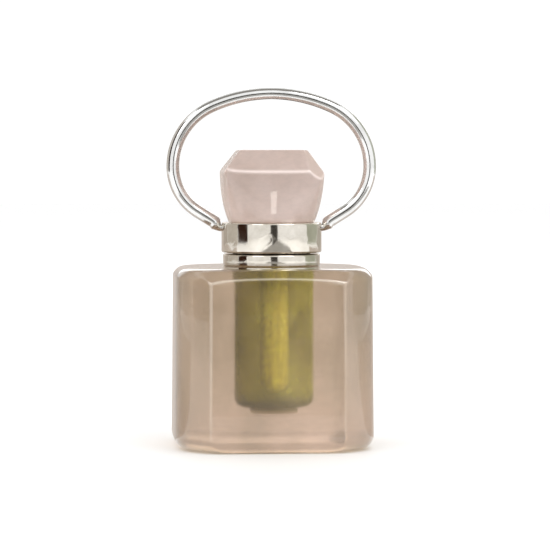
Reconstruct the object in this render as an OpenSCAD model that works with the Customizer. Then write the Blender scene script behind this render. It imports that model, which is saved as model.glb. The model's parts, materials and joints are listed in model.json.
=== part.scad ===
// Screw-stoppered perfume bottle pendant: a carved stone block with a drilled
// cavity, a metal neck ring, a screw cap that carries a stone finial and an
// applicator rod, and a wire bail that swings on the cap.
// Millimetres. Origin at the centre of the base, +Z up, bail in the XZ plane.

/* [Stone bottle] */
// Width of the stone block, side to side
body_w = 19.7; // [17:0.1:24]
// Depth of the stone block, front to back
body_d = 18.8; // [17:0.1:24]
// Height of the stone block
body_h = 18; // [17:0.1:24]
// How much narrower each side is at the top than at the base
body_taper = 0.15; // [0:0.05:0.4]
// How far the facet on each upright corner cuts into the sides
corner_cut = 3.5; // [2:0.1:4]
// Height of the rounded edge round the base
base_edge_h = 1.9; // [1:0.1:3]
// Height of the bevel round the top
top_edge_h = 1.2; // [0.5:0.1:1.4]
// Diameter of the drilled cavity
cavity_d = 7.8; // [7:0.1:9]
// Stone left under the cavity
cavity_floor = 4.1; // [2:0.1:6]

/* [Neck] */
// Outside diameter of the neck ring's flange
neck_d = 9.7; // [9:0.1:11]
// Visible height of the neck ring's flange
neck_h = 1.2; // [0.8:0.1:2]
// Diameter of the hole through the neck ring
throat_d = 5.6; // [4.4:0.1:6]

/* [Thread] */
// Rise of the thread in one turn
pitch = 0.6; // [0.5:0.05:0.8]
// Turns of thread on the neck and in the cap
thread_turns = 1.75; // [1:0.25:2]
// Turns that free the cap from the neck
turns_off = 2.25; // [2:0.25:3]

/* [Cap] */
// Outside diameter of the cap ring
cap_d = 10; // [9.8:0.1:11]
// Height of the cap ring
cap_h = 3; // [2.8:0.1:4]
// Gap between the cap ring and the neck ring when closed
seam_gap = 0.12; // [0.05:0.01:0.3]

/* [Finial] */
// Height of the finial above the cap ring
finial_h = 7.25; // [6:0.05:9]
// Width of the finial at its widest
finial_w = 10.2; // [9.4:0.1:11]
// Width of the finial's flat top
finial_top_w = 6.6; // [5:0.1:8]

/* [Applicator rod] */
// Diameter of the rod
rod_d = 2.8; // [2:0.1:3]
// Gap between the rod's tip and the cavity floor
rod_tip_gap = 1.4; // [0.5:0.05:4]

/* [Bail] */
// Diameter of the bail wire
wire_d = 1.3; // [0.9:0.05:1.6]
// Half the width of the loop, to the middle of the wire
loop_half_w = 9.85; // [9:0.01:12]
// Height from the bail's pivots up to the loop's widest level
loop_mid_h = 6.1; // [5:0.1:8]
// Height from the widest level up to the middle of the wire at the top
loop_top_h = 7.2; // [7:0.1:8]

/* [Hidden] */
$fn = 96;

mating_gap = 0.05;

base_edge_in = 2.2;
top_edge_in = 0.9;
// The bevel is the part of a quarter ellipse above this angle, so it meets the flank at an edge.
bevel_from = 25;
bevel_step = 13;

cavity_r = cavity_d / 2;
cavity_corner_r = 0.9;
dimple_r = 2.35;
dimple_h = 0.6;
socket_r = cavity_r + 0.2;
socket_h = 1;

neck_r = neck_d / 2;
sleeve_r = cavity_r;
throat_r = throat_d / 2;
neck_top = body_h + neck_h;
bottom_play = 0.02;

rod_r = rod_d / 2;
rod_play = 0.05;
oil_gap = 0.2;
oil_top = body_h - socket_h - oil_gap;

cap_r = cap_d / 2;
cap_bottom = neck_top + seam_gap;
cap_top = cap_bottom + cap_h;
cup_depth = 0.65;
web_h = 0.35;
web_top = cap_top - cup_depth;
web_bottom = web_top - web_h;
washer_h = 0.45;
spigot_top = web_bottom - washer_h;
thread_root_r = 4.35;
thread_depth = 0.4;
thread_play = 0.1;
thread_base_w = 0.34;
thread_crest_w = 0.14;
spigot_r = thread_root_r - thread_depth - thread_play;
thread_inset = 0.2;
thread_start = cap_bottom + thread_inset;
web_hole_play = 0.1;
web_hole_r = rod_r + web_hole_play;
cup_r = thread_root_r;

head_r = 2.15;
head_h = 0.4;
bead_r = 1.85;
bead_h = 0.45;
bead_top = spigot_top - turns_off * pitch - mating_gap;

cement_h = 0.1;
cement_clear = 0.3;
recess_clear = 0.15;
recess_h = 0.5;
finial_foot_r = 4.2;
finial_bottom = web_top + cement_h;
finial_top = cap_top + finial_h;

pivot_drop = 0.52;
pivot_z = cap_top - pivot_drop;
pivot_r = 0.36;
pivot_hole_r = 0.4;
pivot_hole_depth = 0.6;
bail_side_gap = 0.08;

// The points of an arc, from angle a to angle b.
function arc(centre, r, a, b, steps = 8) = [
    for (i = [0:steps])
        let (t = a + (b - a) * i / steps)
            centre + r * [cos(t), sin(t)]
];

// The block's outline seen from a side: straight flanks that lean in a little
// over a rounded base edge, and a crisp convex bevel at the top.
module body_outline(w) {
    half = w / 2;
    top_half = half - body_taper;
    steps = 6;
    base = [
        for (i = [0:steps])
            let (a = 90 * i / steps)
                [half - base_edge_in * (1 - sin(a)), base_edge_h * (1 - cos(a))]
    ];
    bevel = [
        for (a = [bevel_from:bevel_step:90])
            let (
                along = 1 - cos(a) / cos(bevel_from),
                up = (sin(a) - sin(bevel_from)) / (1 - sin(bevel_from))
            )
                [top_half - top_edge_in * along, body_h - top_edge_h * (1 - up)]
    ];
    right = concat(base, bevel);
    left = [for (i = [len(right) - 1:-1:0]) [-right[i].x, right[i].y]];
    polygon(concat(right, left));
}

module body_block() {
    corner_circle_r = norm([body_w / 2, body_w / 2 - corner_cut]);
    intersection() {
        linear_extrude(body_h)
            intersection() {
                square([body_w + 1, body_d + 1], center = true);
                circle(corner_circle_r);
            }
        rotate([90, 0, 0])
            linear_extrude(2 * body_d, center = true)
                body_outline(body_w);
        rotate([90, 0, 90])
            linear_extrude(2 * body_w, center = true)
                body_outline(body_d);
    }
}

// Outline of the cavity's lower part, from its axis out to its wall.
function cavity_outline(r, drop) = concat(
    [
        [0, cavity_floor - dimple_h + drop],
        [dimple_r - drop, cavity_floor - dimple_h + drop],
        [dimple_r - drop, cavity_floor + drop]
    ],
    arc([r - cavity_corner_r, cavity_floor + cavity_corner_r + drop], cavity_corner_r, -90, 0)
);

module stone_bottle() {
    color("rosybrown")
        difference() {
            body_block();
            rotate_extrude()
                polygon(concat(
                    cavity_outline(cavity_r, 0),
                    [
                        [cavity_r, body_h - socket_h],
                        [socket_r, body_h - socket_h],
                        [socket_r, body_h + 1],
                        [0, body_h + 1]
                    ]
                ));
        }
}

module perfume_oil() {
    tip = cavity_floor + rod_tip_gap + rod_r;
    hole_r = rod_r + rod_play;
    color("goldenrod")
        rotate_extrude()
            polygon(concat(
                cavity_outline(cavity_r - bottom_play, bottom_play),
                [[cavity_r - bottom_play, oil_top], [hole_r, oil_top]],
                arc([0, tip], hole_r, 0, -90)
            ));
}

module neck_cement() {
    color("wheat")
        translate([0, 0, body_h - socket_h])
            difference() {
                cylinder(r = socket_r, h = socket_h);
                translate([0, 0, -1])
                    cylinder(r = sleeve_r, h = socket_h + 2);
            }
}

// A screw ridge: foot is the radius it grows from, depth its height (negative
// for an inward ridge) and z the height of its middle where it starts.
module screw_ridge(foot, depth, z) {
    segments = 36;
    lead_in = 0.25;
    root = 0.12 * sign(depth);
    last = round(thread_turns * segments);
    function rise(i) = min(1, (i + 0.6) / segments / lead_in, (last - i + 0.6) / segments / lead_in);
    function ring(i) =
        let (
            a = i * 360 / segments,
            middle = z + pitch * i / segments,
            f = rise(i),
            outer = foot + depth * f,
            slope = (thread_base_w - thread_crest_w) / 2 / abs(depth),
            crest = thread_base_w / 2 - slope * abs(depth) * f,
            base = thread_base_w / 2 + slope * abs(root)
        ) [
            for (p = [[foot - root, -base], [outer, -crest], [outer, crest], [foot - root, base]])
                [p.x * cos(a), p.x * sin(a), middle + p.y]
        ];
    points = [for (i = [0:last]) each ring(i)];
    sides = [
        for (i = [0:last - 1], k = [0:3])
            let (n = (k + 1) % 4, a = 4 * i, b = 4 * (i + 1))
                each [[a + k, b + k, b + n], [a + k, b + n, a + n]]
    ];
    ends = [[0, 1, 2], [0, 2, 3], [4 * last, 4 * last + 2, 4 * last + 1], [4 * last, 4 * last + 3, 4 * last + 2]];
    polyhedron(
        points,
        [for (f = concat(sides, ends)) depth > 0 ? [f[0], f[2], f[1]] : f]
    );
}

module neck_ring() {
    edge = 0.12;
    spigot_edge = 0.1;
    color("silver") {
        rotate_extrude()
            polygon([
                [throat_r, body_h - socket_h],
                [sleeve_r, body_h - socket_h],
                [sleeve_r, body_h],
                [neck_r - edge, body_h],
                [neck_r, body_h + edge],
                [neck_r, neck_top - edge],
                [neck_r - edge, neck_top],
                [spigot_r, neck_top],
                [spigot_r, spigot_top - spigot_edge],
                [spigot_r - spigot_edge, spigot_top],
                [throat_r, spigot_top]
            ]);
        screw_ridge(spigot_r, thread_depth, thread_start);
    }
}

module sealing_washer() {
    color("white")
        translate([0, 0, spigot_top])
            difference() {
                cylinder(r = spigot_r, h = washer_h);
                translate([0, 0, -1])
                    cylinder(r = rod_r + rod_play, h = washer_h + 2);
            }
}

module applicator_rod() {
    tip = cavity_floor + rod_tip_gap + rod_r;
    bead_middle = bead_top - bead_h / 2;
    color("whitesmoke")
        rotate_extrude()
            polygon(concat(
                arc([0, tip], rod_r, -90, 0),
                [
                    [rod_r, bead_middle - bead_h / 2],
                    [bead_r, bead_middle - bead_h / 6],
                    [bead_r, bead_middle + bead_h / 6],
                    [rod_r, bead_middle + bead_h / 2],
                    [rod_r, web_top + mating_gap],
                    [head_r, web_top + mating_gap],
                    [head_r, web_top + mating_gap + head_h],
                    [0, web_top + mating_gap + head_h]
                ]
            ));
}

module cap_ring() {
    edge = 0.15;
    color("silver")
        difference() {
            union() {
                rotate_extrude()
                    polygon([
                        [thread_root_r, cap_bottom],
                        [cap_r - edge, cap_bottom],
                        [cap_r, cap_bottom + edge],
                        [cap_r, cap_top - edge],
                        [cap_r - edge, cap_top],
                        [cup_r, cap_top],
                        [cup_r, web_top],
                        [web_hole_r, web_top],
                        [web_hole_r, web_bottom],
                        [thread_root_r, web_bottom]
                    ]);
                screw_ridge(thread_root_r, -thread_depth, thread_start + pitch / 2);
            }
            for (side = [-1, 1])
                translate([side * (cap_r - pivot_hole_depth), 0, pivot_z])
                    rotate([0, side * 90, 0])
                        cylinder(r = pivot_hole_r, h = pivot_hole_depth + 1);
        }
}

module finial_cement() {
    color("wheat")
        rotate_extrude()
            polygon([
                [head_r + cement_clear, web_top],
                [cup_r, web_top],
                [cup_r, cap_top - mating_gap],
                [finial_foot_r, cap_top - mating_gap],
                [finial_foot_r, finial_bottom],
                [head_r + cement_clear, finial_bottom]
            ]);
}

// Height above the cap ring and half width of each level of the finial, as shares.
finial_levels = [[0.02, 0.83], [0.25, 0.95], [0.45, 1], [0.64, 0.99], [0.75, 0.95]];

// The finial's outline seen from a side, for a given growth of its half width per level.
function finial_side(grow = [0, 0, 0, 0, 0]) = [
    for (i = [0:4])
        [finial_w / 2 * finial_levels[i][1] + grow[i], cap_top + finial_h * finial_levels[i][0]]
];

module finial_outline() {
    side = concat(finial_side(), [[finial_top_w / 2, finial_top]]);
    foot = [[finial_foot_r + 0.1, cap_top - 1], [finial_foot_r + 0.1, side[0].y]];
    right = concat(foot, side);
    left = [for (i = [len(right) - 1:-1:0]) [-right[i].x, right[i].y]];
    polygon(concat(right, left));
}

// Square in plan at the crown, turning round towards the foot that sits in the cap.
module finial() {
    corners = finial_side([0, 0.35, 1, 1.25, 1.05]);
    color("rosybrown")
        difference() {
            intersection() {
                rotate_extrude()
                    polygon(concat(
                        [
                            [0, finial_bottom],
                            [finial_foot_r, finial_bottom],
                            [finial_foot_r, corners[0].y]
                        ],
                        corners,
                        [[finial_top_w / 2 + 0.85, finial_top], [0, finial_top]]
                    ));
                intersection_for(turn = [0, 90])
                    rotate([90, 0, turn])
                        linear_extrude(2 * finial_w, center = true)
                            finial_outline();
            }
            translate([0, 0, finial_bottom - 1])
                cylinder(r = head_r + recess_clear, h = recess_h + 1);
        }
}

// A stretch of wire bent to an arc in the XZ plane, from angle a to angle b above the X axis.
module wire_arc(centre, r, a, b) {
    translate([centre.x, 0, centre.y])
        rotate([90, 0, 0])
            rotate([0, 0, a])
                rotate_extrude(angle = b - a)
                    translate([r, 0])
                        circle(wire_d / 2);
}

module bail() {
    upper_r = 6.5;
    lower_r = 5.3;
    end_slope = 32;
    joint_swell = 0.02;
    mid_z = pivot_z + loop_mid_h;
    upper_x = loop_half_w - upper_r;
    lower_x = loop_half_w - lower_r;
    // Radius of the top arc that is tangent to both upper side arcs.
    crown_r = (loop_top_h ^ 2 + upper_x ^ 2 - upper_r ^ 2) / (2 * (loop_top_h - upper_r));
    crown_z = mid_z + loop_top_h - crown_r;
    crown_a = atan2(mid_z - crown_z, upper_x);
    leg_start = [lower_x + lower_r * sin(end_slope), mid_z - lower_r * cos(end_slope)];
    crown_end = [crown_r * cos(crown_a), crown_z + crown_r * sin(crown_a)];
    end_x = cap_r + bail_side_gap;
    leg_l = (leg_start.x - end_x) / cos(end_slope) + wire_d;
    color("silver") {
        difference() {
            union() {
                wire_arc([0, crown_z], crown_r, crown_a, 180 - crown_a);
                for (side = [0, 1])
                    mirror([side, 0, 0]) {
                        wire_arc([upper_x, mid_z], upper_r, 0, crown_a);
                        wire_arc([lower_x, mid_z], lower_r, end_slope - 90, 0);
                        translate([leg_start.x, 0, leg_start.y])
                            rotate([0, -90 - end_slope, 0])
                                cylinder(r = wire_d / 2, h = leg_l);
                        // A hair-thin swell over each joint makes the stretches one wire.
                        for (joint = [crown_end, [loop_half_w, mid_z], leg_start])
                            translate([joint.x, 0, joint.y])
                                sphere(wire_d / 2 + joint_swell);
                    }
            }
            translate([-end_x, -cap_r, pivot_z - cap_r])
                cube([2 * end_x, 2 * cap_r, 2 * cap_r]);
        }
        for (side = [-1, 1])
            translate([side * (cap_r - pivot_hole_depth + mating_gap), 0, pivot_z])
                rotate([0, side * 90, 0])
                    cylinder(r = pivot_r, h = pivot_hole_depth + bail_side_gap + 0.3);
    }
}

stone_bottle();
perfume_oil();
neck_cement();
neck_ring();
sealing_washer();
applicator_rod();
cap_ring();
finial_cement();
finial();
bail();
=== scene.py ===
import json
import math

import bmesh
import bpy
import numpy as np
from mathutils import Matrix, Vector


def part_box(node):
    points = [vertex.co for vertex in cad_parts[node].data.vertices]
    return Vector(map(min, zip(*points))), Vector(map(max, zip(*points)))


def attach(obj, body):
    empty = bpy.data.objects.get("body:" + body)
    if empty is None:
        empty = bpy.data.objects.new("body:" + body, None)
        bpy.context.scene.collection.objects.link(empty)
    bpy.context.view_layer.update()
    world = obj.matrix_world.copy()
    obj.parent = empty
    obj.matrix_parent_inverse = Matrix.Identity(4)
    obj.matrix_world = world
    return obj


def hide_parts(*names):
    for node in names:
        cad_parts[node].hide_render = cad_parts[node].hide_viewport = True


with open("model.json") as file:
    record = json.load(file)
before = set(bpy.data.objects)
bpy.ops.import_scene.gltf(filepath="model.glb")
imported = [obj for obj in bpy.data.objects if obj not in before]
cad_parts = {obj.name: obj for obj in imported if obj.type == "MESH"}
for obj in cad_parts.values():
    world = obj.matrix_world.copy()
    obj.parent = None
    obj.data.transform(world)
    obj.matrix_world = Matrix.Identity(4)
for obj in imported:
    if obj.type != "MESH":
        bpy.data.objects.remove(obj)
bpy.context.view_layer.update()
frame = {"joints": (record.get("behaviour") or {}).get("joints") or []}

# All shapes are worked out in millimetres about the bottle's axis and scaled when they become meshes.
MM = 0.001


def box_mm(node):
    low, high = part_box(node)
    return low / MM, high / MM


STONE_HIGH = box_mm("stone_bottle")[1]
OIL_LOW, OIL_HIGH = box_mm("perfume_oil")
CEMENT_LOW, CEMENT_HIGH = box_mm("neck_cement")
NECK_LOW, NECK_HIGH = box_mm("neck_ring")
WASHER_LOW, WASHER_HIGH = box_mm("sealing_washer")
ROD_LOW, ROD_HIGH = box_mm("applicator_rod")
CAP_LOW, CAP_HIGH = box_mm("cap_ring")
GLUE_LOW, GLUE_HIGH = box_mm("finial_cement")
FINIAL_LOW, FINIAL_HIGH = box_mm("finial")
BAIL_HIGH = box_mm("bail")[1]
JOINTS = {j["name"]: j for j in frame["joints"]}
PIVOT_Z = JOINTS["bail_swing"]["pos_m"][2] / MM
# The cap rises this far as it is turned off its thread.
THREAD_LIFT = JOINTS["thread_lift"]["range_m"][1] / MM


# ---------------------------------------------------------------- mesh helpers

def mesh_object(name, bm):
    """An object in the scene, made from a bmesh, which is freed."""
    mesh = bpy.data.meshes.new(name)
    bm.to_mesh(mesh)
    bm.free()
    ob = bpy.data.objects.new(name, mesh)
    bpy.context.scene.collection.objects.link(ob)
    return ob


def make_piece(name, bm, body, material, replaced=(), sharp_deg=40, wear_and_highlight=None):
    """Turns a bmesh in millimetres into a smooth-shaded piece whose steep edges stay crisp.

    The last argument gives, for an array of points, how strongly each is marked from 0 to 1: rubbed edges
    on the silver, and painted highlight lines on the stone.
    """
    bmesh.ops.remove_doubles(bm, verts=bm.verts, dist=0.0005)
    bmesh.ops.recalc_face_normals(bm, faces=bm.faces)
    limit = math.radians(sharp_deg)
    for face in bm.faces:
        face.smooth = True
    for edge in bm.edges:
        edge.smooth = len(edge.link_faces) == 2 and edge.calc_face_angle(0) < limit
    places = np.array([vert.co[:] for vert in bm.verts])
    for vert in bm.verts:
        vert.co *= MM
    piece = mesh_object(name, bm)
    if wear_and_highlight:
        worn_and_highlit = piece.data.attributes.new("edge_wear_and_highlight", "FLOAT", "POINT")
        worn_and_highlit.data.foreach_set("value", np.clip(wear_and_highlight(places), 0, 1).astype(np.float32))
    for m in material if isinstance(material, list) else [material]:
        piece.data.materials.append(m)
    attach(piece, body)
    if replaced:
        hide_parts(*replaced)
    return piece


def soft_max(values, softness):
    """The largest of several fields, with the edges between them rounded off."""
    stack = np.stack(values)
    top = stack.max(0)
    return top + softness * np.log(np.exp((stack - top) / softness).sum(0))


def lines(half, creases, step, spread=(0.0, 0.07, 0.16, 0.3, 0.5)):
    """Grid lines from -half to half, closer together beside each crease."""
    count = max(2, round(2 * half / step))
    marks = list(np.linspace(-half, half, count + 1))
    for crease in creases:
        for side in (-1, 1):
            for offset in spread:
                for sign in (-1, 1):
                    marks.append(side * (crease + sign * offset))
    marks = sorted(m for m in marks if abs(m) <= half)
    kept = [marks[0]]
    for m in marks[1:]:
        if m - kept[-1] > 0.04:
            kept.append(m)
    kept[-1] = half
    return np.array(kept)


def near_edge(gap, width):
    """1 on an edge, less as the gap to it grows."""
    return np.exp(-(gap / width) ** 2)


def near_ring(p, radius, height, width):
    """1 on a round edge at this radius and height about the axis, less away from it."""
    reach = np.hypot(p[:, 0], p[:, 1])
    return np.exp(-((reach - radius) ** 2 + (p[:, 2] - height) ** 2) / width ** 2)


def carved_solid(field, centre, x_lines, y_lines, z_lines):
    """A convex solid where field is below 0, as a grid cast outwards from its centre."""
    axes = (x_lines, y_lines, z_lines)
    last = [len(a) - 1 for a in axes]
    index = {}
    points = []

    def corner(i, j, k):
        key = (i, j, k)
        if key not in index:
            index[key] = len(points)
            points.append((x_lines[i], y_lines[j], z_lines[k]))
        return index[key]

    quads = []
    for axis in range(3):
        u, v = [a for a in range(3) if a != axis]
        for end in (0, last[axis]):
            for a in range(last[u]):
                for b in range(last[v]):
                    loop = []
                    for da, db in ((0, 0), (1, 0), (1, 1), (0, 1)):
                        key = [0, 0, 0]
                        key[axis], key[u], key[v] = end, a + da, b + db
                        loop.append(corner(*key))
                    quads.append(loop)
    ray = np.array(points, float)
    low = np.zeros(len(ray))
    high = np.full(len(ray), 2.0)
    middle = np.array(centre, float)
    for _ in range(44):
        t = (low + high) / 2
        inside = field(middle + ray * t[:, None]) < 0
        low = np.where(inside, t, low)
        high = np.where(inside, high, t)
    placed = middle + ray * ((low + high) / 2)[:, None]
    bm = bmesh.new()
    verts = [bm.verts.new(p) for p in placed]
    for quad in quads:
        bm.faces.new([verts[i] for i in quad])
    bmesh.ops.recalc_face_normals(bm, faces=bm.faces)
    return bm


def fillet(corner, before, after, radius, steps=5):
    """Points of a round corner of a profile, in place of one sharp point."""
    corner, before, after = (Vector((p[0], p[1])) for p in (corner, before, after))
    to_before = (before - corner).normalized()
    to_after = (after - corner).normalized()
    turn = to_before.angle(to_after)
    reach = radius / math.tan(turn / 2)
    centre = corner + (to_before + to_after).normalized() * radius / math.sin(turn / 2)
    start = corner + to_before * reach - centre
    end = corner + to_after * reach - centre
    sweep = start.angle_signed(end)
    points = []
    for i in range(steps + 1):
        a = -sweep * i / steps
        c, s = math.cos(a), math.sin(a)
        points.append((centre.x + start.x * c - start.y * s, centre.y + start.x * s + start.y * c))
    return points


def rounded(profile, radii):
    """A closed profile of (radius, height) points with a fillet at each corner that has a radius."""
    out = []
    count = len(profile)
    for i, (point, radius) in enumerate(zip(profile, radii)):
        if radius:
            out += fillet(point, profile[i - 1], profile[(i + 1) % count], radius)
        else:
            out.append(point)
    return out


def lathe(profile, segments=160, closed=True):
    """Turns a profile of (radius, height) points about the Z axis."""
    bm = bmesh.new()
    rings = []
    for radius, height in profile:
        if radius < 1e-6:
            rings.append([bm.verts.new((0, 0, height))] * segments)
            continue
        rings.append([
            bm.verts.new((
                radius * math.cos(2 * math.pi * i / segments),
                radius * math.sin(2 * math.pi * i / segments),
                height,
            ))
            for i in range(segments)
        ])
    pairs = list(zip(rings, rings[1:]))
    if closed:
        pairs.append((rings[-1], rings[0]))
    for a, b in pairs:
        for i in range(segments):
            n = (i + 1) % segments
            loop = []
            for v in (a[i], a[n], b[n], b[i]):
                if v not in loop:
                    loop.append(v)
            if len(loop) > 2:
                bm.faces.new(loop)
    return bm


def cut(bm_piece, bm_tool):
    """Subtracts one bmesh from another with an exact boolean."""
    piece, tool = mesh_object("scratch", bm_piece), mesh_object("scratch", bm_tool)
    mod = piece.modifiers.new("cut", "BOOLEAN")
    mod.operation = "DIFFERENCE"
    mod.solver = "EXACT"
    mod.object = tool
    depsgraph = bpy.context.evaluated_depsgraph_get()
    result = bmesh.new()
    result.from_mesh(piece.evaluated_get(depsgraph).to_mesh())
    for ob in (piece, tool):
        bpy.data.objects.remove(ob)
    return result


# ---------------------------------------------------------------- material helpers

class Nodes:
    """Short names for building a node tree."""

    def __init__(self, name):
        self.material = bpy.data.materials.new(name)
        self.material.use_nodes = True
        self.tree = self.material.node_tree
        self.tree.nodes.clear()
        self.output = self.add("ShaderNodeOutputMaterial")

    def add(self, kind, inputs=None, **settings):
        node = self.tree.nodes.new(kind)
        for key, value in settings.items():
            setattr(node, key, value)
        for key, value in (inputs or {}).items():
            self.put(node.inputs[key], value)
        return node

    def put(self, socket, value):
        if isinstance(value, bpy.types.NodeSocket):
            self.tree.links.new(value, socket)
        else:
            socket.default_value = value

    def noise(self, scale, detail=4, distortion=0.0, roughness=0.5, stretch=(1, 1, 1)):
        """Noise on object coordinates, scale in features per millimetre."""
        coords = self.add("ShaderNodeTexCoord").outputs["Object"]
        mapped = self.add("ShaderNodeMapping", {"Vector": coords, "Scale": stretch})
        return self.add("ShaderNodeTexNoise", {
            "Vector": mapped.outputs["Vector"],
            "Scale": scale / MM,
            "Detail": detail,
            "Roughness": roughness,
            "Distortion": distortion,
        }).outputs["Fac"]

    def ramp(self, value, stops):
        node = self.add("ShaderNodeValToRGB", {"Fac": value})
        ramp = node.color_ramp
        while len(ramp.elements) < len(stops):
            ramp.elements.new(0.5)
        for element, (place, colour) in zip(ramp.elements, stops):
            element.position = place
            element.color = (*colour, 1) if len(colour) == 3 else colour
        return node.outputs["Color"]

    def spread(self, value, low, high):
        return self.add("ShaderNodeMapRange", {
            "Value": value, "From Min": 0.3, "From Max": 0.7, "To Min": low, "To Max": high,
        }).outputs["Result"]

    def height(self, low_mm, high_mm):
        """0 at the first of two heights and 1 at the second, as the piece stands at rest."""
        coords = self.add("ShaderNodeTexCoord").outputs["Object"]
        z = self.add("ShaderNodeSeparateXYZ", {0: coords}).outputs["Z"]
        return self.add("ShaderNodeMapRange", {
            "Value": z, "From Min": low_mm * MM, "From Max": high_mm * MM, "To Min": 0.0, "To Max": 1.0,
        }).outputs["Result"]

    def blend(self, share, a, b):
        """The number a, or b as share rises to 1."""
        return self.add("ShaderNodeMix", {0: share, 2: a, 3: b}, data_type="FLOAT").outputs[0]

    def mix_colour(self, share, a, b, kind="MIX"):
        """The colour a, or b as share rises to 1."""
        node = self.add("ShaderNodeMix", {0: share, 6: a, 7: b}, data_type="RGBA", blend_type=kind)
        return node.outputs[2]

    def times(self, a, b):
        """Two colours multiplied."""
        return self.mix_colour(1.0, a, b, "MULTIPLY")

    def maths(self, operation, a, b, clamp=False):
        return self.add("ShaderNodeMath", {0: a, 1: b}, operation=operation, use_clamp=clamp).outputs[0]

    def clear(self, tint):
        """A surface that only tints what is seen through it, and bends no light."""
        return self.add("ShaderNodeBsdfTransparent", {"Color": (*tint, 1)}).outputs[0]

    def mix_shader(self, share, a, b):
        """The surface a, or b as share rises to 1."""
        return self.add("ShaderNodeMixShader", {0: share, 1: a, 2: b}).outputs[0]

    def lit_inside(self, surface, tint):
        """A surface that the lamps' light passes, tinted, so that what is inside is lit."""
        is_shadow = self.add("ShaderNodeLightPath").outputs["Is Shadow Ray"]
        return self.mix_shader(is_shadow, surface, self.clear(tint))

    def bump(self, height, depth_mm, strength=1.0):
        return self.add("ShaderNodeBump", {
            "Height": height, "Distance": depth_mm * MM, "Strength": strength,
        }).outputs["Normal"]

    def done(self, shader):
        self.tree.links.new(shader, self.output.inputs["Surface"])
        return self.material


# The marked edges: rubbed on the silver, and on the stone a pale painted highlight.
def edge_wear_and_highlight(n):
    return n.add("ShaderNodeAttribute", attribute_name="edge_wear_and_highlight").outputs["Fac"]


def stone_material(name, deep, pale, worn_and_highlit, slant_shading, clearness, blur):
    """Milky polished quartz: glass that blurs what is in it, part veiled, under a clear polish."""
    n = Nodes(name)
    clouds = n.noise(0.10, detail=2, distortion=0.4)
    wisps = n.noise(0.28, detail=3, roughness=0.45, stretch=(1, 1, 0.45))
    mix = n.blend(0.45, clouds, wisps)
    # Pale, less clear edges: a painted highlight along the creases and round the crown.
    edge = edge_wear_and_highlight(n)
    body = n.ramp(mix, [(0.38, deep), (0.62, pale)])
    grain = n.noise(1.5, detail=4, roughness=0.65, stretch=(0.8, 0.8, 1.5))
    mottled = n.ramp(grain, [(0.34, (0.93, 0.94, 0.94)), (0.64, (1.04, 1.04, 1.04))])
    body = n.times(body, mottled)
    # Painted shade and light: faces seen slantwise take the slant tint, darker on the bottle's sides and
    # bevel, lighter on the finial.
    slant = n.add("ShaderNodeLayerWeight", {"Blend": 0.5}).outputs["Facing"]
    depth = n.maths("MULTIPLY", slant, 1.6, clamp=True)
    body = n.mix_colour(depth, body, n.times(body, (*slant_shading, 1)))
    # Low down the stone is paler, as if lit from the floor.
    body = n.mix_colour(n.height(5.5, 1.0), body, n.times(body, (1.11, 1.07, 1.09, 1)))
    shader = n.add("ShaderNodeBsdfPrincipled", {
        "Base Color": n.mix_colour(edge, body, (*worn_and_highlit, 1)),
        "Transmission Weight": n.maths("SUBTRACT", n.spread(mix, clearness + 0.05, clearness - 0.05),
                                       n.maths("MULTIPLY", edge, 0.45)),
        "Roughness": n.spread(clouds, blur, blur + 0.06),
        "IOR": 1.54,
        "Coat Weight": 1.0,
        "Coat Roughness": 0.03,
        "Coat IOR": 1.45,
        "Normal": n.bump(n.noise(3.0, detail=3, stretch=(1, 1, 6)), 0.002),
    })
    return n.done(n.lit_inside(shader.outputs[0], (0.93, 0.86, 0.78)))


def cavity_material():
    """The drilled wall, wetted by the oil: it bends no light; its drill marks show, and pale painted
    highlights round the dimple's rims.
    """
    n = Nodes("cavity_wall")
    marks = n.noise(0.8, detail=5, stretch=(0.35, 0.35, 3))
    edge = edge_wear_and_highlight(n)
    # Along the marked rims the haze turns pale and thick: painted highlights.
    haze = n.add("ShaderNodeBsdfPrincipled", {
        "Base Color": n.mix_colour(edge, (0.50, 0.45, 0.30, 1), (0.98, 0.92, 0.76, 1)),
        "Roughness": 0.6,
        "Specular IOR Level": 0.1,
        "Normal": n.bump(marks, 0.05),
    })
    share = n.maths("ADD", n.spread(marks, 0.0, 0.16), n.maths("MULTIPLY", edge, 0.75), clamp=True)
    return n.done(n.mix_shader(share, n.clear((0.95, 0.93, 0.86)), haze.outputs[0]))


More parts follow.
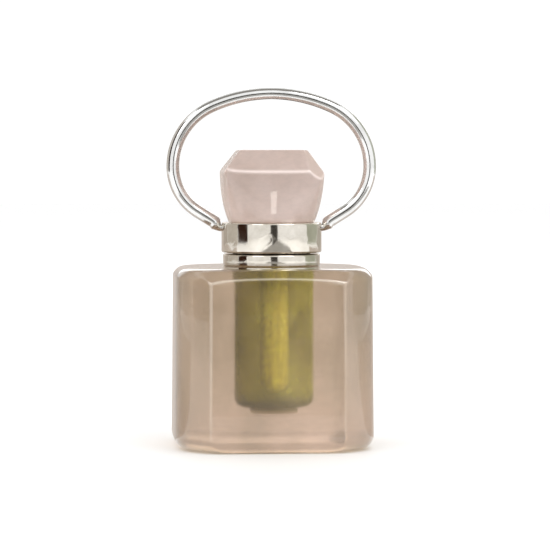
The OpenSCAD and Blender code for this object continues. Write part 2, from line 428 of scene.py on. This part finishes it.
def oil_material():
    """Golden oil: clear and tinted, cloudier in drifts, darker towards the bottom, and with painted shade
    where it is seen edge on and on its far side.
    """
    n = Nodes("perfume_oil")
    drift = n.noise(0.35, detail=2, stretch=(1, 1, 0.4))
    colour = n.ramp(drift, [(0.3, (0.22, 0.225, 0.02)), (0.7, (0.46, 0.50, 0.06))])
    flecks = n.noise(2.2, detail=3, stretch=(1, 1, 0.5))
    # The oil is darker and cloudier towards the bottom of the cavity.
    low_in_cavity = n.height(OIL_LOW.z + 2.4, OIL_LOW.z + 1.3)
    colour = n.mix_colour(n.maths("MULTIPLY", low_in_cavity, 0.8), colour, (0.06, 0.062, 0.035, 1))
    # Painted shade: the oil's far side is dark, and cloudier.
    far_side = n.add("ShaderNodeNewGeometry").outputs["Backfacing"]
    colour = n.mix_colour(far_side, colour, (0.05, 0.045, 0.008, 1))
    body = n.add("ShaderNodeBsdfPrincipled", {
        "Base Color": colour, "Roughness": 0.5, "Specular IOR Level": 0.1,
    })
    # Painted shade: seen edge on, the oil shows more of its dark body colour.
    edge_on = n.add("ShaderNodeLayerWeight", {"Blend": 0.5}).outputs["Facing"]
    edge_shade = n.maths("MULTIPLY", n.maths("POWER", edge_on, 2.5), 0.6)
    cloudy = n.maths("ADD", n.spread(drift, 0.14, 0.28), n.maths("MULTIPLY", low_in_cavity, 0.2))
    cloudy = n.maths("ADD", cloudy, n.maths("MULTIPLY", far_side, 0.32))
    cloudy = n.maths("ADD", cloudy, n.spread(flecks, -0.12, 0.16))
    share = n.maths("ADD", cloudy, edge_shade, clamp=True)
    oil_seen = n.mix_shader(share, n.clear((0.82, 0.80, 0.17)), body.outputs[0])
    return n.done(n.lit_inside(oil_seen, (0.97, 0.93, 0.6)))


def silver_material(name, tarnished, bright, rough=0.03, ripple_mm=0.03):
    """Bright plating: smudged, finely scratched, gently uneven, and duller along its rubbed edges."""
    n = Nodes(name)
    smudge = n.noise(0.45, detail=5, roughness=0.65)
    grain = n.noise(5.0, detail=3, stretch=(1, 1, 4))
    ripple = n.noise(0.28, detail=2)
    dents = n.ramp(n.noise(0.5, detail=1), [(0.36, (0, 0, 0)), (0.50, (1, 1, 1))])
    edge = edge_wear_and_highlight(n)
    plated = n.ramp(smudge, [(0.3, tarnished), (0.7, bright)])
    shader = n.add("ShaderNodeBsdfPrincipled", {
        "Base Color": n.mix_colour(n.maths("MULTIPLY", edge, 0.6), plated, (0.62, 0.57, 0.47, 1)),
        "Metallic": 1.0,
        "Roughness": n.maths("ADD", n.spread(smudge, rough, rough + 0.08), n.maths("MULTIPLY", edge, 0.2)),
        "Normal": n.add("ShaderNodeBump", {
            "Height": grain, "Distance": 0.0012 * MM,
            "Normal": n.add("ShaderNodeBump", {
                "Height": dents, "Distance": ripple_mm * 0.45 * MM,
                "Normal": n.bump(ripple, ripple_mm),
            }).outputs["Normal"],
        }).outputs["Normal"],
    })
    return n.done(shader.outputs[0])


def rod_material():
    """The clear rod, which gathers the oil's gold: streaked and speckled with tiny bubbles."""
    n = Nodes("clear_rod")
    streaks = n.noise(0.9, detail=5, stretch=(3, 3, 0.2))
    specks = n.noise(5.0, detail=2)
    gold = n.ramp(streaks, [(0.38, (0.60, 0.50, 0.11)), (0.58, (1.0, 0.95, 0.44))])
    speckled = n.ramp(specks, [(0.40, (0.55, 0.48, 0.36)), (0.54, (1.0, 1.0, 1.0))])
    # Under the neck less light reaches the rod.
    shaded = n.ramp(n.height(12.5, 17.5), [(0, (1, 1, 1)), (1, (0.60, 0.58, 0.6))])
    gold = n.times(gold, shaded)
    shader = n.add("ShaderNodeBsdfPrincipled", {
        "Base Color": n.times(gold, speckled),
        "Roughness": n.spread(streaks, 0.3, 0.42),
        "Specular IOR Level": 0.1,
        "Normal": n.bump(streaks, 0.03),
    })
    return n.done(shader.outputs[0])


def dull_material(name, low, high, rough, grain_mm=0.01):
    n = Nodes(name)
    patch = n.noise(1.2, detail=5)
    grain = n.noise(7.0, detail=4)
    shader = n.add("ShaderNodeBsdfPrincipled", {
        "Base Color": n.ramp(patch, [(0.3, low), (0.7, high)]),
        "Roughness": n.spread(grain, rough, rough + 0.15),
        "Normal": n.bump(grain, grain_mm),
    })
    return n.done(shader.outputs[0])


# The third colour is the pale painted highlight along the edges; the fourth tints faces seen slantwise:
# painted shade on the bottle, painted light on the finial.
STONE = stone_material("rose_quartz", (0.35, 0.26, 0.175), (0.555, 0.41, 0.30), (0.86, 0.78, 0.66),
                       (0.72, 0.71, 0.68), 0.84, 0.15)
FINIAL = stone_material("rose_quartz_finial", (0.465, 0.365, 0.32), (0.58, 0.468, 0.43), (0.90, 0.78, 0.74),
                        (1.2, 1.18, 1.15), 0.4, 0.4)
CAVITY = cavity_material()
OIL = oil_material()
SILVER = silver_material("plated_silver", (0.62, 0.575, 0.50), (0.83, 0.79, 0.72))
WIRE = silver_material("plated_silver_wire", (0.72, 0.72, 0.705), (0.91, 0.91, 0.90), 0.05, 0.01)
ROD = rod_material()
CEMENT = dull_material("set_cement", (0.60, 0.56, 0.48), (0.74, 0.70, 0.62), 0.55)
WASHER = dull_material("washer_plastic", (0.80, 0.79, 0.76), (0.9, 0.89, 0.87), 0.4)


# ---------------------------------------------------------------- stone bottle

# The rounded sides stay a little inside the plain block.
HALF_W = STONE_HIGH.x - 0.16
HALF_D = STONE_HIGH.y
STONE_H = STONE_HIGH.z
# The front and back faces are flat between creases this far from the axis.
CREASE_X = 6.7
CORNER_R = math.hypot(CREASE_X, HALF_D) - 0.05
LEAN = 0.15
TOP_BEVEL = 0.85
TOP_IN = 0.75
TOP_DROOP = 0.6
BASE_IN = 1.4
BASE_UP = 1.4
# The rounded base would end this far below the floor, so the stone stands on a flat.
BASE_SINK = 0.3
SIDE_SOFT = 0.45
CROWN_SOFT = 0.35
EDGE_SOFT = 0.05
DOME = 0.004
# The drill's tip left a dimple in the cavity's floor.
DIMPLE_R = 2.35
DIMPLE_H = 0.6
# The top is flat round the neck, and falls away outside this radius.
NECK_SEAT_R = NECK_HIGH.x + 0.3


def block_facets(p):
    """The flat front and back, the rounded sides, and the crown of the hand-cut block, as fields."""
    x, y, z = np.abs(p[:, 0]), np.abs(p[:, 1]), p[:, 2]
    reach = np.hypot(x, y)
    lean = LEAN * z / STONE_H
    rise = np.clip((BASE_UP - z) / (BASE_UP + BASE_SINK), 0, None)

    def wall(out, half, cut_in):
        across = np.clip((out + lean - half + cut_in) / cut_in, 0, None)
        return (np.hypot(across, rise) - 1) * cut_in

    bevel_start = STONE_H - TOP_BEVEL - TOP_DROOP * (reach / CORNER_R) ** 7
    slope = math.hypot(TOP_BEVEL, TOP_IN)

    def bevel(out, half):
        return ((out + lean - half) * TOP_BEVEL + (z - bevel_start) * TOP_IN) / slope

    face = wall(y, HALF_D, BASE_IN)
    sides = soft_max([wall(x, HALF_W + 0.25, BASE_IN), wall(reach, CORNER_R, BASE_IN + 0.4)], SIDE_SOFT)
    dome = z - STONE_H + DOME * np.clip(reach - NECK_SEAT_R, 0, None) ** 2
    crown_sides = soft_max([bevel(x, HALF_W + 0.55), bevel(reach, CORNER_R + 0.3)], CROWN_SOFT)
    crown = soft_max([crown_sides, bevel(y, HALF_D), dome], 0.2)
    return face, sides, crown


def block_field(p):
    """Below 0 inside the block."""
    face, sides, crown = block_facets(p)
    return soft_max([soft_max([sides, face], EDGE_SOFT), crown, -p[:, 2]], EDGE_SOFT)


def block_painted_highlights(p):
    """Painted highlights: highest along the creases round the front and back faces, and along the rims of
    the dimple.
    """
    face, sides, crown = block_facets(p)
    walls = np.maximum(face, sides)
    fade = np.clip(p[:, 2] / BASE_UP - 0.6, 0, 1) * (walls > crown - 0.04)
    # Painted highlight lines along the creases, brighter at the left crease than at the right, and along
    # the crown's edge.
    upright = near_edge(face - sides, 0.07) * fade * np.where(p[:, 0] < 0, 0.34, 0.22)
    level = near_edge(walls - crown, 0.085) * np.clip(1 + (face - sides) / 0.3, 0.08, 1) * 0.6
    # A pale ring painted as a highlight round each rim of the dimple.
    rims = near_ring(p, DIMPLE_R, OIL_LOW.z, 0.3) * 1.3
    rims += near_ring(p, DIMPLE_R, OIL_LOW.z + DIMPLE_H, 0.14) * 0.4
    outside = np.maximum(walls, crown) > -0.3
    return np.where(outside, np.maximum(upright, level), rims)


def cavity_profile(shrink=0.0):
    """The drilled cavity from its axis out to its wall: a dimple from the drill's tip, then the floor."""
    radius = OIL_HIGH.x + 0.02 - shrink
    dimple_low = OIL_LOW.z - 0.02 + shrink
    floor = dimple_low + DIMPLE_H
    low = [(0, dimple_low), (DIMPLE_R - shrink, dimple_low), (DIMPLE_R - shrink, floor), (radius, floor)]
    return low, radius


def build_stone():
    half_h = STONE_H / 2
    fine = (0.0, 0.06, 0.13, 0.22, 0.36)
    block = carved_solid(
        block_field, (0, 0, half_h),
        lines(HALF_W, [CREASE_X], 0.3, fine), lines(HALF_D, [HALF_D - 0.3], 0.35),
        lines(half_h, [half_h - TOP_BEVEL], 0.3, fine),
    )
    low, radius = cavity_profile()
    socket_r = CEMENT_HIGH.x
    profile = low + [
        (radius, CEMENT_LOW.z), (socket_r, CEMENT_LOW.z), (socket_r, STONE_H + 1), (0, STONE_H + 1),
    ]
    radii = [0, 0.15, 0.15, 0.9, 0.05, 0.05, 0, 0]
    tool = lathe(rounded(profile, radii), segments=192, closed=False)
    bm = cut(block, tool)
    for face in bm.faces:
        middle = face.calc_center_median()
        inner = math.hypot(middle.x, middle.y) < socket_r + 0.01 and 1 < middle.z < STONE_H - 0.02
        face.material_index = 1 if inner else 0
    return make_piece("stone_bottle_block", bm, "bottle", [STONE, CAVITY],
                      replaced=["stone_bottle"], sharp_deg=50, wear_and_highlight=block_painted_highlights)


build_stone()


# ---------------------------------------------------------------- oil, cement, washer, rod

ROD_R = 1.4
FINIAL_FOOT_R = 4.2
# The neck ring's sleeve goes down inside the bed of cement.
SLEEVE_R = CEMENT_HIGH.x - 0.2


def build_oil():
    low, radius = cavity_profile(0.02)
    top = OIL_HIGH.z
    profile = low + [(radius, top), (0, top - 0.1)]
    radii = [0, 0.15, 0.15, 0.9, 0.1, 0]
    bm = lathe(rounded(profile, radii), segments=160, closed=False)
    return make_piece("oil_fill", bm, "bottle", OIL, replaced=["perfume_oil"])


def build_rod():
    tip = ROD_LOW.z
    head_r = ROD_HIGH.x
    top = ROD_HIGH.z
    head_h = 0.4
    collar_r, collar_h = 1.85, 0.45
    # When the cap is off its thread, the collar comes up under the washer.
    collar_z = WASHER_LOW.z - THREAD_LIFT - 0.05
    profile = [
        (0, tip), (ROD_R, tip),
        (ROD_R, collar_z - collar_h), (collar_r, collar_z - collar_h * 2 / 3),
        (collar_r, collar_z - collar_h / 3), (ROD_R, collar_z),
        (ROD_R, top - head_h), (head_r, top - head_h), (head_r, top), (0, top),
    ]
    radii = [0, 1.3, 0.05, 0.06, 0.06, 0.05, 0.05, 0.08, 0.08, 0]
    bm = lathe(rounded(profile, radii), segments=96, closed=False)
    return make_piece("applicator_rod_turned", bm, "rod", ROD, replaced=["applicator_rod"])


def build_flat_ring(name, low, high, inner_r, body, material, node):
    profile = [(inner_r, low.z), (high.x, low.z), (high.x, high.z), (inner_r, high.z)]
    bm = lathe(rounded(profile, [0.04] * 4), segments=128)
    return make_piece(name, bm, body, material, replaced=[node])


def build_finial_cement():
    outer, inner = GLUE_HIGH.x, ROD_HIGH.x + 0.3
    bed = GLUE_LOW.z + 0.1
    profile = [
        (inner, GLUE_LOW.z), (outer, GLUE_LOW.z), (outer, GLUE_HIGH.z), (FINIAL_FOOT_R, GLUE_HIGH.z),
        (FINIAL_FOOT_R, bed), (inner, bed),
    ]
    bm = lathe(rounded(profile, [0.03, 0.03, 0.03, 0.03, 0, 0.03]), segments=128)
    return make_piece("finial_cement_bed", bm, "cap", CEMENT, replaced=["finial_cement"])


oil = build_oil()
rod = build_rod()
build_flat_ring("neck_cement_bed", CEMENT_LOW, CEMENT_HIGH, SLEEVE_R, "bottle", CEMENT,
                "neck_cement")
build_flat_ring("sealing_washer_disc", WASHER_LOW, WASHER_HIGH, ROD_R + 0.05, "washer",
                WASHER, "sealing_washer")
build_finial_cement()


# ---------------------------------------------------------------- rings with their threads

THREAD_ROOT_R = 4.35
THREAD_DEPTH = 0.4
SPIGOT_R = 3.85
THREAD_TURNS = 1.75
LIFT_TURNS = 2.25
PITCH = THREAD_LIFT / LIFT_TURNS
THREAD_INSET = 0.2
WEB_LOW = WASHER_HIGH.z


def rim_wear(radius, heights, width=0.12):
    """Wear along the round edges of a ring, at this radius and these heights."""
    return lambda p: sum(near_ring(p, radius, height, width) for height in heights)


def thread_ridge(foot, depth, start_z):
    """A helical ridge that grows outwards from radius foot, or inwards where depth is negative."""
    per_turn = 96
    lead_in = 0.25 * per_turn
    sink = 0.04 * math.copysign(1, depth)
    base_w, crest_w = 0.34, 0.14
    last = round(THREAD_TURNS * per_turn)
    bm = bmesh.new()
    rings = []
    for i in range(last + 1):
        share = max(0.02, min(1, i / lead_in, (last - i) / lead_in))
        share = math.sin(share * math.pi / 2)
        crest = foot + depth * share
        shoulder = foot + depth * share * 0.8
        turn = 2 * math.pi * i / per_turn
        middle = start_z + PITCH * i / per_turn
        half_crest = base_w / 2 + (crest_w - base_w) / 2 * share
        section = [
            (foot - sink, -base_w / 2), (shoulder, -half_crest - 0.03), (crest, -half_crest * 0.6),
            (crest, half_crest * 0.6), (shoulder, half_crest + 0.03), (foot - sink, base_w / 2),
        ]
        rings.append([
            bm.verts.new((r * math.cos(turn), r * math.sin(turn), middle + h)) for r, h in section
        ])
    for a, b in zip(rings, rings[1:]):
        for i in range(len(a)):
            n = (i + 1) % len(a)
            bm.faces.new([a[i], a[n], b[n], b[i]])
    bm.faces.new(rings[0])
    bm.faces.new(rings[-1])
    return bm


def build_neck_ring():
    throat_r = 2.8
    spigot_top = WASHER_LOW.z
    flange_top = CAP_LOW.z - 0.12
    profile = [
        (throat_r, NECK_LOW.z), (SLEEVE_R, NECK_LOW.z), (SLEEVE_R, STONE_H),
        (NECK_HIGH.x, STONE_H), (NECK_HIGH.x, flange_top), (SPIGOT_R, flange_top), (SPIGOT_R, spigot_top),
        (throat_r, spigot_top),
    ]
    bm = lathe(rounded(profile, [0.04, 0.04, 0, 0.16, 0.2, 0.06, 0.1, 0.08]), segments=160)
    wear_and_highlight = rim_wear(NECK_HIGH.x, [STONE_H, flange_top])
    make_piece("neck_ring_turned", bm, "bottle", SILVER, replaced=["neck_ring"], wear_and_highlight=wear_and_highlight)
    ridge = thread_ridge(SPIGOT_R, THREAD_DEPTH, CAP_LOW.z + THREAD_INSET)
    make_piece("neck_ring_thread", ridge, "bottle", SILVER, replaced=["neck_ring"])


def build_cap_ring():
    outer, inner, bore = CAP_HIGH.x, THREAD_ROOT_R, ROD_R + 0.1
    low, high = CAP_LOW.z, CAP_HIGH.z
    web_high = GLUE_LOW.z
    profile = [
        (inner, low), (outer, low), (outer, high), (inner, high), (inner, web_high), (bore, web_high),
        (bore, WEB_LOW), (inner, WEB_LOW),
    ]
    bm = lathe(rounded(profile, [0.06, 0.2, 0.18, 0.08, 0.05, 0.05, 0.05, 0.05]), segments=160)
    hole_r, hole_depth, chamfer = 0.4, 0.6, 0.1
    hole = [
        (0, 0), (hole_r, 0), (hole_r, hole_depth - 0.08), (hole_r + chamfer, hole_depth + 0.02),
        (hole_r + chamfer, hole_depth + 1), (0, hole_depth + 1),
    ]
    tool = bmesh.new()
    for side in (-1, 1):
        bore_bm = lathe(hole, segments=48, closed=False)
        for vert in bore_bm.verts:
            x, y, z = vert.co
            vert.co = (side * (outer - hole_depth + z), side * y, PIVOT_Z + x)
        mesh = bpy.data.meshes.new("scratch")
        bore_bm.to_mesh(mesh)
        bore_bm.free()
        tool.from_mesh(mesh)
        bpy.data.meshes.remove(mesh)
    bmesh.ops.remove_doubles(tool, verts=tool.verts, dist=0.0001)
    bmesh.ops.recalc_face_normals(tool, faces=tool.faces)
    make_piece("cap_ring_turned", cut(bm, tool), "cap", SILVER, replaced=["cap_ring"],
               wear_and_highlight=rim_wear(outer, [low, high]))
    ridge = thread_ridge(THREAD_ROOT_R, -THREAD_DEPTH, low + THREAD_INSET + PITCH / 2)
    make_piece("cap_ring_thread", ridge, "cap", SILVER, replaced=["cap_ring"])


build_neck_ring()
build_cap_ring()


# ---------------------------------------------------------------- bail

WIRE_R = 0.65
# The loop is widest this far above its pivots.
LOOP_MID_H = 6.1


def arc_points(centre, radius, start_deg, end_deg, step_deg=2.5):
    count = max(2, round(abs(end_deg - start_deg) / step_deg))
    points = []
    for i in range(count + 1):
        a = math.radians(start_deg + (end_deg - start_deg) * i / count)
        points.append((centre[0] + radius * math.cos(a), centre[1] + radius * math.sin(a)))
    return points


def bail_half():
    """The wire's middle line in the XZ plane from the right-hand pivot to the top of the loop."""
    upper_r, lower_r, leg_deg = 6.5, 5.3, 32
    half_w = BAIL_HIGH.x - WIRE_R - 0.02
    mid_z = PIVOT_Z + LOOP_MID_H
    loop_h = BAIL_HIGH.z - WIRE_R - mid_z
    upper_x = half_w - upper_r
    crown_r = (loop_h ** 2 + upper_x ** 2 - upper_r ** 2) / (2 * (loop_h - upper_r))
    crown_z = mid_z + loop_h - crown_r
    crown_deg = math.degrees(math.atan2(mid_z - crown_z, upper_x))
    lower = arc_points((half_w - lower_r, mid_z), lower_r, leg_deg - 90, 0)
    upper = arc_points((upper_x, mid_z), upper_r, 0, crown_deg)
    crown = arc_points((0, crown_z), crown_r, crown_deg, 90, 1.5)
    leg_x, leg_z = lower[0]
    slope = math.tan(math.radians(leg_deg))
    leg = [(x, leg_z - (leg_x - x) * slope) for x in np.linspace(CAP_HIGH.x + 0.75, leg_x, 8)[:-1]]
    stub_in = CAP_HIGH.x - 0.55
    stub_out = CAP_HIGH.x + 0.1
    start, knee, end = (stub_out, PIVOT_Z), (stub_out + 0.3, PIVOT_Z + 0.03), leg[0]
    turn = []
    for t in np.linspace(0, 1, 7)[:-1]:
        shares = ((1 - t) ** 2, 2 * t * (1 - t), t * t)
        turn.append([sum(w * p[axis] for w, p in zip(shares, (start, knee, end))) for axis in (0, 1)])
    stub = [(x, PIVOT_Z) for x in np.linspace(stub_in, stub_out, 4)[:-1]]
    return stub + turn + leg + lower[:-1] + upper[:-1] + crown


def build_bail():
    half = bail_half()
    path = half + [(-x, z) for x, z in reversed(half[:-1])]
    steps = np.array(path)
    run = np.concatenate([[0], np.cumsum(np.hypot(*np.diff(steps, axis=0).T))])
    from_end = np.minimum(run, run[-1] - run)
    stub_r, side_r, top_r = 0.36, 0.64, 0.57
    stub_length, swell_length = 0.64, 0.75
    thins_from = 0.35
    along = from_end / from_end.max()
    body_r = side_r + (top_r - side_r) * np.clip((along - thins_from) / (1 - thins_from), 0, 1) ** 1.5
    swell = np.clip((from_end - stub_length) / swell_length, 0, 1)
    radius = stub_r + (body_r - stub_r) * swell * swell * (3 - 2 * swell)
    # The outside of the loop keeps to one line, so a thinner wire moves outwards.
    tangent = np.gradient(steps, axis=0)
    tangent /= np.hypot(*tangent.T)[:, None]
    outward = np.stack([tangent[:, 1], -tangent[:, 0]], 1)
    steps += outward * ((WIRE_R - radius) * swell * (along > 0.05))[:, None]
    bm = bmesh.new()
    segments = 28
    rings = []
    for (x, z), (nx, nz), r in zip(steps, outward, radius):
        ring = []
        for i in range(segments):
            a = 2 * math.pi * i / segments
            c, s = math.cos(a) * r, math.sin(a) * r
            ring.append(bm.verts.new((x + c * nx, s, z + c * nz)))
        rings.append(ring)
    for a, b in zip(rings, rings[1:]):
        for i in range(segments):
            n = (i + 1) % segments
            bm.faces.new([a[i], a[n], b[n], b[i]])
    for ring in (rings[0], rings[-1]):
        bm.faces.new(ring)
    return make_piece("bail_wire", bm, "bail", WIRE, replaced=["bail"])


build_bail()


# ---------------------------------------------------------------- finial

CROWN_SHARE = 0.705
TABLE_HALF = 3.35


def finial_facets(p):
    """The crown and the upright facets of the finial, as fields."""
    base = CAP_HIGH.z
    height = FINIAL_HIGH.z - base
    half = FINIAL_HIGH.x + 0.05
    x, y, z = p[:, 0], p[:, 1], p[:, 2]
    reach = np.hypot(x, y)

    def slab(out, low_share, low_half, high_share, high_half):
        """A facet through two levels of a side's outline."""
        run = (high_share - low_share) * height
        rise = high_half - low_half
        size = math.hypot(run, rise)
        return ((out - low_half) * run - (z - base - low_share * height) * rise) / size

    crown = []
    flats = []
    for out, skew in ((x, 0.03), (-x, 0.0), (y, 0.02), (-y, 0.0)):
        flats += [
            slab(out, 0.02, 0.93 * half, 0.25, 0.98 * half),
            slab(out, 0.25, 0.98 * half, 0.48, half),
            slab(out, 0.48, half, CROWN_SHARE, 0.985 * half),
        ]
        crown.append(slab(out, CROWN_SHARE - skew, 0.975 * half, 1.0, TABLE_HALF))
    # Only two opposite corners of the crown are cut, as the eye left them.
    diagonal = np.abs(x - y) / math.sqrt(2)
    crown.append(slab(diagonal, 0.60, 1.27 * half, 1.0, 4.42))
    turned = [
        slab(reach, 0.0, 0.92 * half, 0.3, 1.13 * half),
        slab(reach, 0.3, 1.13 * half, 0.65, 1.40 * half),
    ]
    walls = soft_max([soft_max(flats, 0.12), soft_max(turned, 0.3)], 0.4)
    return soft_max(crown, 0.03), walls


def finial_field(p):
    crown, walls = finial_facets(p)
    z = p[:, 2]
    foot = np.where(z < CAP_HIGH.z + 0.04, np.hypot(p[:, 0], p[:, 1]) - FINIAL_FOOT_R, -10)
    ends = [z - FINIAL_HIGH.z + 0.01, FINIAL_LOW.z - z]
    return np.maximum(soft_max([crown, walls, *ends], 0.05), foot)


def finial_painted_highlights(p):
    """Painted highlights: highest along the edge between the crown's slopes and the upright facets, and
    round the table.
    """
    crown, walls = finial_facets(p)
    girdle = near_edge(crown - walls, 0.11)
    table = near_edge(crown - (p[:, 2] - FINIAL_HIGH.z), 0.06)
    return np.maximum(girdle * 0.6, table * 0.4)


def build_finial():
    middle = (FINIAL_HIGH.z + CAP_HIGH.z) / 2
    half_h = FINIAL_HIGH.z - middle
    half = FINIAL_HIGH.x
    fine = (0.0, 0.08, 0.16, 0.26)
    block = carved_solid(
        finial_field, (0, 0, middle),
        lines(half, [3.3, 4.6], 0.16), lines(half, [3.3, 4.6], 0.16),
        lines(half_h + 0.6, [half_h * 0.4], 0.14, fine),
    )
    head_gap = 0.15
    recess_r, recess_top = ROD_HIGH.x + head_gap, ROD_HIGH.z + head_gap
    below = FINIAL_LOW.z - 1
    recess = [(0, below), (recess_r, below), (recess_r, recess_top), (0, recess_top)]
    tool = lathe(recess, segments=64, closed=False)
    return make_piece("finial_cut", cut(block, tool), "cap", FINIAL,
                      replaced=["finial"], sharp_deg=50, wear_and_highlight=finial_painted_highlights)


finial = build_finial()


# ---------------------------------------------------------------- stage

def flat_square(name, half):
    bm = bmesh.new()
    bmesh.ops.create_grid(bm, x_segments=1, y_segments=1, size=half)
    return mesh_object(name, bm)


def aim(place, target):
    """The turn that points a lamp, card or camera from one place at another."""
    return (Vector(target) - Vector(place)).to_track_quat("-Z", "Y").to_euler()


def build_stage():
    floor = flat_square("floor", 1.5)
    n = Nodes("floor")
    shader = n.add("ShaderNodeBsdfPrincipled", {"Base Color": (0.93, 0.93, 0.93, 1), "Roughness": 0.6})
    floor.data.materials.append(n.done(shader.outputs[0]))


def area_light(name, place, target, size, power, colour=(1, 1, 1)):
    data = bpy.data.lights.new(name, "AREA")
    data.shape = "RECTANGLE"
    data.size, data.size_y = size
    data.energy = power
    data.color = colour
    light = bpy.data.objects.new(name, data)
    light.location = place
    light.rotation_euler = aim(place, target)
    bpy.context.scene.collection.objects.link(light)
    return light


def reflection_card(name, place, target, size, colour):
    """A studio card that only mirror-like surfaces see."""
    card = flat_square(name, 0.5)
    card.location = place
    card.scale = (*size, 1)
    card.rotation_euler = aim(place, target)
    n = Nodes(name)
    glow = n.add("ShaderNodeEmission", {"Color": (*colour, 1), "Strength": 1.0})
    card.data.materials.append(n.done(glow.outputs[0]))
    card.visible_camera = False
    card.visible_diffuse = False
    card.visible_transmission = False
    card.visible_shadow = False
    return card


def round_card(name, angle_deg, sweep_deg, colour, radius=0.30, low=-0.1, high=0.3):
    """An upright card round the object, at an angle to the right of the camera as the object sees it."""
    angle = math.radians(angle_deg)
    place = (radius * math.sin(angle), -radius * math.cos(angle), (low + high) / 2)
    width = 2 * radius * math.tan(math.radians(sweep_deg) / 2)
    return reflection_card(name, place, (0, 0, place[2]), (width, high - low), colour)


def only_for(light, *pieces):
    """The light shines on these pieces alone, and the camera doesn't see it."""
    group = bpy.data.collections.new(light.name + "_receivers")
    for piece in pieces:
        group.objects.link(piece)
    light.light_linking.receiver_collection = group
    light.visible_camera = False


CAMERA_YAW_DEG = 4.2


def build_lights():
    middle = (0, 0, 0.02)
    dark, warm = (0.06, 0.055, 0.05), (0.66, 0.59, 0.54)
    area_light("key", (0.22, -0.26, 0.36), middle, (0.22, 0.22), 0.9)
    area_light("fill", (-0.25, -0.30, 0.30), middle, (0.2, 0.2), 0.3)
    area_light("back", (0.10, 0.45, 0.25), middle, (0.5, 0.3), 0.5)
    # A lamp that reaches into the drilled cavity, with a second on the oil's side, and a low strip
    # that glints on the finial.
    lamp = (0.17, -0.28, 0.04)
    into_cavity = area_light("into_cavity", lamp, (0, 0, 0.01), (0.015, 0.015), 1.25)
    only_for(into_cavity, oil, rod)
    # A flag part of the way to that lamp keeps it off all that is above the stone.
    flag_z = 0.065
    flag_place = (lamp[0] * 0.3, lamp[1] * 0.3, flag_z)
    flag = reflection_card("flag", flag_place, (0, 0, flag_z), (0.1, 0.082), dark)
    flag.visible_glossy = False
    flag.visible_shadow = True
    flags = bpy.data.collections.new("flags")
    flags.objects.link(flag)
    into_cavity.light_linking.blocker_collection = flags
    oil_side = area_light("oil_side", (0.30, -0.10, 0.03), (0, 0, 0.01), (0.03, 0.03), 1.4,
                          (0.93, 1.0, 0.7))
    only_for(oil_side, oil)
    glint = area_light("glint", (0.0056, -0.0875, 0.002), (0.0056, -0.0875, 1), (0.0038, 0.105), 0.0082,
                       (1.0, 0.93, 0.85))
    # The strip lies along the camera's line of sight as the finial's front mirrors it.
    glint.rotation_euler = (math.pi, 0, math.radians(CAMERA_YAW_DEG))
    only_for(glint, finial)

    reflection_card("floor_front", (0.02, -0.20, 0.0006), (0.02, -0.20, 1), (0.13, 0.30),
                    (0.45, 0.44, 0.42))
    reflection_card("floor_back", (0, 0.055, 0.0006), (0, 0.055, 1), (0.016, 0.07), (0.14, 0.13, 0.12))
    reflection_card("camera", (0.012, -0.35, 0.06), middle, (0.10, 0.14), dark)
    reflection_card("behind", (0, 0.30, 0.02), (0, 0, 0.02), (0.40, 0.10), warm)
    reflection_card("floor_behind", (0, 0.15, 0.0004), (0, 0.15, 1), (0.40, 0.30), warm)
    reflection_card("overhead", (0.0, 0.0, 0.33), middle, (0.42, 0.30), (0.29, 0.275, 0.255))
    reflection_card("back_high", (0.0, 0.22, 0.20), middle, (0.3, 0.10), (0.40, 0.39, 0.36))
    round_card("brown_left", -75, 28, (0.035, 0.014, 0.008))
    round_card("grey_left", -107, 34, (0.60, 0.56, 0.51))
    round_card("back_left", -137, 24, (0.52, 0.47, 0.42))
    round_card("grey_right", 104, 40, (0.47, 0.49, 0.41))
    round_card("back_right", 137, 24, (0.52, 0.49, 0.44))
    world = bpy.data.worlds.new("studio")
    bpy.context.scene.world = world
    world.use_nodes = True
    background = world.node_tree.nodes["Background"]
    background.inputs["Color"].default_value = (1, 1, 1, 1)
    background.inputs["Strength"].default_value = 1.06


def build_camera():
    distance, height = 0.28, 0.0287
    target = (0.00035, 0, 0.01704)
    yaw = math.radians(CAMERA_YAW_DEG)
    sensor_mm, view_width = 36, 0.055
    data = bpy.data.cameras.new("camera")
    data.sensor_width = sensor_mm
    data.lens = sensor_mm * distance / view_width
    camera = bpy.data.objects.new("camera", data)
    camera.location = (-distance * math.sin(yaw), -distance * math.cos(yaw), height)
    camera.rotation_euler = aim(camera.location, target)
    bpy.context.scene.collection.objects.link(camera)
    bpy.context.scene.camera = camera


build_stage()
build_lights()
build_camera()
bpy.context.scene.view_settings.view_transform = "Standard"
